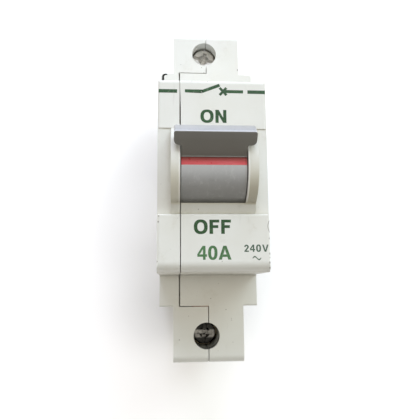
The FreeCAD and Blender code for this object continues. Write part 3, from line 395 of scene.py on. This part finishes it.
flexing("toggle_spring")
flexing("contact_spring")
flexing("plunger_spring")
flexing("flexible_braid")


# ---- print on the nose ---------------------------------------------------------------------------
def ring(width, stroke_x, stroke_y, steps=40):
    """Outer and inner loop of an O of height 1, a little squarer than an ellipse."""
    power = 2 / 2.35

    def loop(a, b):
        points = []
        for i in range(steps):
            t = 2 * math.pi * i / steps
            c, q = math.cos(t), math.sin(t)
            u = width / 2 + math.copysign(abs(c) ** power, c) * a
            points.append((u, 0.5 + math.copysign(abs(q) ** power, q) * b))
        return points

    return [loop(width / 2, 0.515), loop(width / 2 - stroke_x, 0.515 - stroke_y)]


GLYPHS = {              # loops of a letter of height 1, and its width
    "O": (ring(0.98, 0.25, 0.205), 0.98),
    "0": (ring(0.70, 0.225, 0.18), 0.70),
    "N": ([[(0, 0), (0, 1), (0.25, 1), (0.58, 0.40), (0.58, 1), (0.82, 1), (0.82, 0), (0.57, 0),
            (0.24, 0.60), (0.24, 0)]], 0.82),
    "F": ([[(0, 0), (0, 1), (0.70, 1), (0.70, 0.80), (0.25, 0.80), (0.25, 0.61), (0.62, 0.61),
            (0.62, 0.41), (0.25, 0.41), (0.25, 0)]], 0.70),
    "4": ([[(0.42, 0), (0.42, 0.22), (0, 0.22), (0, 0.41), (0.39, 1), (0.61, 1), (0.61, 0.39),
            (0.72, 0.39), (0.72, 0.22), (0.61, 0.22), (0.61, 0)],
           [(0.17, 0.39), (0.42, 0.39), (0.42, 0.76)]], 0.72),
    "2": ([[(0, 0), (0.66, 0), (0.66, 0.18), (0.31, 0.18), (0.52, 0.42), (0.64, 0.58),
            (0.66, 0.73), (0.60, 0.88), (0.48, 0.97), (0.33, 1.01), (0.18, 0.97), (0.07, 0.87),
            (0.02, 0.69), (0.22, 0.67), (0.25, 0.79), (0.33, 0.83), (0.42, 0.79), (0.45, 0.70),
            (0.41, 0.60), (0.28, 0.43), (0.09, 0.22)]], 0.66),
    "V": ([[(0.34, 0), (0.58, 0), (0.92, 1), (0.69, 1), (0.46, 0.27), (0.23, 1), (0, 1)]], 0.92),
    "A": ([[(0, 0), (0.36, 1), (0.60, 1), (0.96, 0), (0.72, 0), (0.655, 0.20), (0.305, 0.20),
            (0.24, 0)], [(0.365, 0.37), (0.595, 0.37), (0.48, 0.74)]], 0.96),
}


def printed(name, loops, y, finish):
    """Thin inked shape on the face at depth y; loops run across and up, inner ones are holes."""
    curve = bpy.data.curves.new(name, "CURVE")
    curve.dimensions = "2D"
    curve.fill_mode = "BOTH"
    curve.extrude = 0.012 * MM
    for loop in loops:
        spline = curve.splines.new("POLY")
        spline.points.add(len(loop) - 1)
        for point, (u, v) in zip(spline.points, loop):
            point.co = (u * MM, v * MM, 0, 1)
        spline.use_cyclic_u = True
    flat = bpy.data.objects.new(name + "_curve", curve)
    bpy.context.scene.collection.objects.link(flat)
    flat.rotation_euler = (math.radians(90), 0, 0)
    flat.location = (0, y * MM, 0)
    bpy.context.view_layer.update()
    depsgraph = bpy.context.evaluated_depsgraph_get()
    mesh = bpy.data.meshes.new_from_object(flat.evaluated_get(depsgraph))
    mesh.transform(flat.matrix_world)
    bpy.data.objects.remove(flat)
    piece = bpy.data.objects.new(name, mesh)
    bpy.context.scene.collection.objects.link(piece)
    mesh.materials.clear()
    mesh.materials.append(finish)
    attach(piece, "housing")
    return piece


def word(name, text, x, z, y, finish, gap=0.13):
    """A word in bold capitals that fills the pairs x (left, right) and z (bottom, top)."""
    height = z[1] - z[0]
    natural = sum(GLYPHS[c][1] for c in text) + gap * (len(text) - 1)
    across = (x[1] - x[0]) / natural
    loops, at = [], 0.0
    for c in text:
        shapes, width = GLYPHS[c]
        for shape in shapes:
            loops.append([(x[0] + (at + u) * across, z[0] + v * height) for u, v in shape])
        at += width + gap
    return printed(name, loops, y, finish)


def bar(x, z):
    return [(x[0], z[0]), (x[1], z[0]), (x[1], z[1]), (x[0], z[1])]


def stroke(a, b, width):
    """Straight bar of a given width between two points."""
    along = Vector((b[0] - a[0], b[1] - a[1])).normalized() * (width / 2)
    side = Vector((-along.y, along.x))
    return [(p[0] + side.x * s, p[1] + side.y * s) for p, s in ((a, -1), (b, -1), (b, 1), (a, 1))]


def wave(x, z, swing, width, steps=24):
    """One period of a sine line, as on alternating-current markings."""
    middle = [
        (x[0] + (x[1] - x[0]) * i / steps, z + swing * math.sin(2 * math.pi * i / steps))
        for i in range(steps + 1)
    ]
    lower = [(u, v - width / 2) for u, v in middle]
    return lower + [(u, v + width / 2) for u, v in reversed(middle)]


PRINT_Y = FACE_Y - 0.004        # the ink stands just proud of the face
CROSS_X, CROSS_Z = (1.75, 3.35), (18.75, 20.55)
word("mark_on", "ON", (-2.81, 3.25), (11.95, 15.10), PRINT_Y, green)
word("mark_off", "OFF", (-4.49, 3.86), (-13.95, -10.75), PRINT_Y, green)
word("mark_rating", "40A", (-3.74, 3.84), (-19.70, -16.62), PRINT_Y, pale_green, 0.08)
printed("mark_bars", [
    bar((-12.5, -8.21), (19.12, 19.98)),
    bar((8.34, 12.5), (19.20, 20.06)),
], PRINT_Y, bar_green)
printed("mark_symbol", [
    bar((-6.4, -2.3), (19.27, 20.03)),
    stroke((-2.55, 19.50), (1.75, 21.2), 0.74),
    bar((2.75, 7.3), (19.27, 20.03)),
], PRINT_Y, bar_green)
rising = stroke((CROSS_X[0], CROSS_Z[0]), (CROSS_X[1], CROSS_Z[1]), 0.6)
falling = stroke((CROSS_X[0], CROSS_Z[1]), (CROSS_X[1], CROSS_Z[0]), 0.6)
printed("mark_symbol_cross", [rising], PRINT_Y - 0.002, bar_green)
printed("mark_symbol_cross_2", [falling], PRINT_Y - 0.004, bar_green)
word("mark_voltage", "240V", (6.72, 12.25), (-18.0, -16.4), PRINT_Y, small_green, 0.16)
printed("mark_supply", [wave((8.6, 10.5), -19.4, 0.33, 0.30)], PRINT_Y, small_green)


# ---- camera and studio ---------------------------------------------------------------------------
def add_camera():
    data = bpy.data.cameras.new("camera")
    data.lens = 40.28
    data.sensor_width = 36
    data.clip_start, data.clip_end = 0.005, 10
    camera = bpy.data.objects.new("camera", data)
    camera.location = (-8.54 * MM, -164.57 * MM, -25.37 * MM)
    turn = [math.radians(angle) for angle in (99.154, 0.626, -4.139)]
    camera.rotation_euler = Euler(turn, "XYZ")
    bpy.context.scene.collection.objects.link(camera)
    bpy.context.scene.camera = camera


def add_backdrop():
    """Pale board right behind the breaker, as if it lay on a table.

    It casts no shadow, and its back face is clear so that the breaker's back can be seen.
    """
    s = Shader("pale_board", (0.93, 0.93, 0.945), 0.9)
    s.principled.inputs["Specular IOR Level"].default_value = 0.1
    s.principled.inputs["Emission Color"].default_value = (0.97, 0.975, 1, 1)
    # Painted light: the board glows more away from the breaker, with a painted shadow low on the
    # left and a painted pool of light to the left.
    away = s.distance(0, BOARD_Y, 0, (1, 1, 0.7))
    painted_glow = s.math("ADD", s.ramp(away, 18, 46, 0.03, 0.28), s.ramp(away, 40, 100, 0, 0.2))
    painted_shadow_spot = s.ramp(s.distance(-19, BOARD_Y, -36), 5, 18, -0.06, 0)
    painted_glow = s.math("ADD", painted_glow, painted_shadow_spot)
    painted_light_spot = s.ramp(s.distance(-20, BOARD_Y, 2), 5, 18, 0.05, 0)
    s.set(s.principled, "Emission Strength", s.math("ADD", painted_glow, painted_light_spot))
    s.colour(s.mix(s.noise(6, 2), (0.925, 0.925, 0.94), (0.94, 0.94, 0.95)))
    clear = s.add("ShaderNodeBsdfTransparent")
    behind = s.add("ShaderNodeNewGeometry").outputs["Backfacing"]
    shadow_ray = s.add("ShaderNodeLightPath").outputs["Is Shadow Ray"]
    both = s.add("ShaderNodeMixShader")
    s.set(both, 0, s.math("MAXIMUM", behind, shadow_ray))
    s.set(both, 1, s.principled.outputs["BSDF"])
    s.set(both, 2, clear.outputs["BSDF"])
    s.set(s.tree.nodes["Material Output"], "Surface", both.outputs["Shader"])
    mesh = bpy.data.meshes.new("board")
    half, y = 2, BOARD_Y * MM
    corners = [(-half, y, -half), (half, y, -half), (half, y, half), (-half, y, half)]
    mesh.from_pydata(corners, [], [(0, 1, 2, 3)])
    mesh.materials.append(s.material)
    board = bpy.data.objects.new("board", mesh)
    bpy.context.scene.collection.objects.link(board)


def area_light(name, position, target, size, watts, colour=(1, 1, 1)):
    data = bpy.data.lights.new(name, "AREA")
    data.shape = "DISK"
    data.size = size
    data.energy = watts
    data.color = colour
    lamp = bpy.data.objects.new(name, data)
    lamp.location = position
    lamp.rotation_euler = (Vector(target) - Vector(position)).to_track_quat("-Z", "Y").to_euler()
    bpy.context.scene.collection.objects.link(lamp)


def add_world():
    """Room brightest level with and in front of the breaker, slightly warm, dim above and below."""
    world = bpy.data.worlds.new("pale_room")
    bpy.context.scene.world = world
    world.use_nodes = True
    tree = world.node_tree
    direction = tree.nodes.new("ShaderNodeTexCoord")
    split = tree.nodes.new("ShaderNodeSeparateXYZ")
    height = tree.nodes.new("ShaderNodeMapRange")
    height.inputs["From Min"].default_value = -1
    height.inputs["From Max"].default_value = 1
    shades = tree.nodes.new("ShaderNodeValToRGB")
    stops = shades.color_ramp.elements
    stops[0].position, stops[0].color = 0.15, (0.03, 0.025, 0.02, 1)
    stops[1].position, stops[1].color = 0.85, (0.03, 0.035, 0.04, 1)
    stops.new(0.5).color = (1.34, 1.27, 1.12, 1)
    tree.links.new(direction.outputs["Generated"], split.inputs["Vector"])
    tree.links.new(split.outputs["Z"], height.inputs["Value"])
    tree.links.new(height.outputs["Result"], shades.inputs["Fac"])
    tree.links.new(shades.outputs["Color"], tree.nodes["Background"].inputs["Color"])
    front = tree.nodes.new("ShaderNodeMapRange")
    front.inputs["From Min"].default_value = -0.5
    front.inputs["From Max"].default_value = 0.4
    front.inputs["To Min"].default_value = 0.96
    front.inputs["To Max"].default_value = 0.45
    tree.links.new(split.outputs["Y"], front.inputs["Value"])
    tree.links.new(front.outputs["Result"], tree.nodes["Background"].inputs["Strength"])


bpy.context.scene.view_settings.view_transform = "Standard"
add_camera()
add_backdrop()
add_world()
area_light("key", (0.47, -0.60, 0.52), (0, -0.04, 0), 0.5, 2.75, (0.83, 0.96, 1.0))
area_light("overhead", (-0.04, -0.42, 0.66), (0, -0.04, 0), 0.6, 4.3, (0.82, 0.86, 1.0))
area_light("rear", (0.05, 0.60, 0.35), (0, -0.02, 0), 0.4, 1.6)
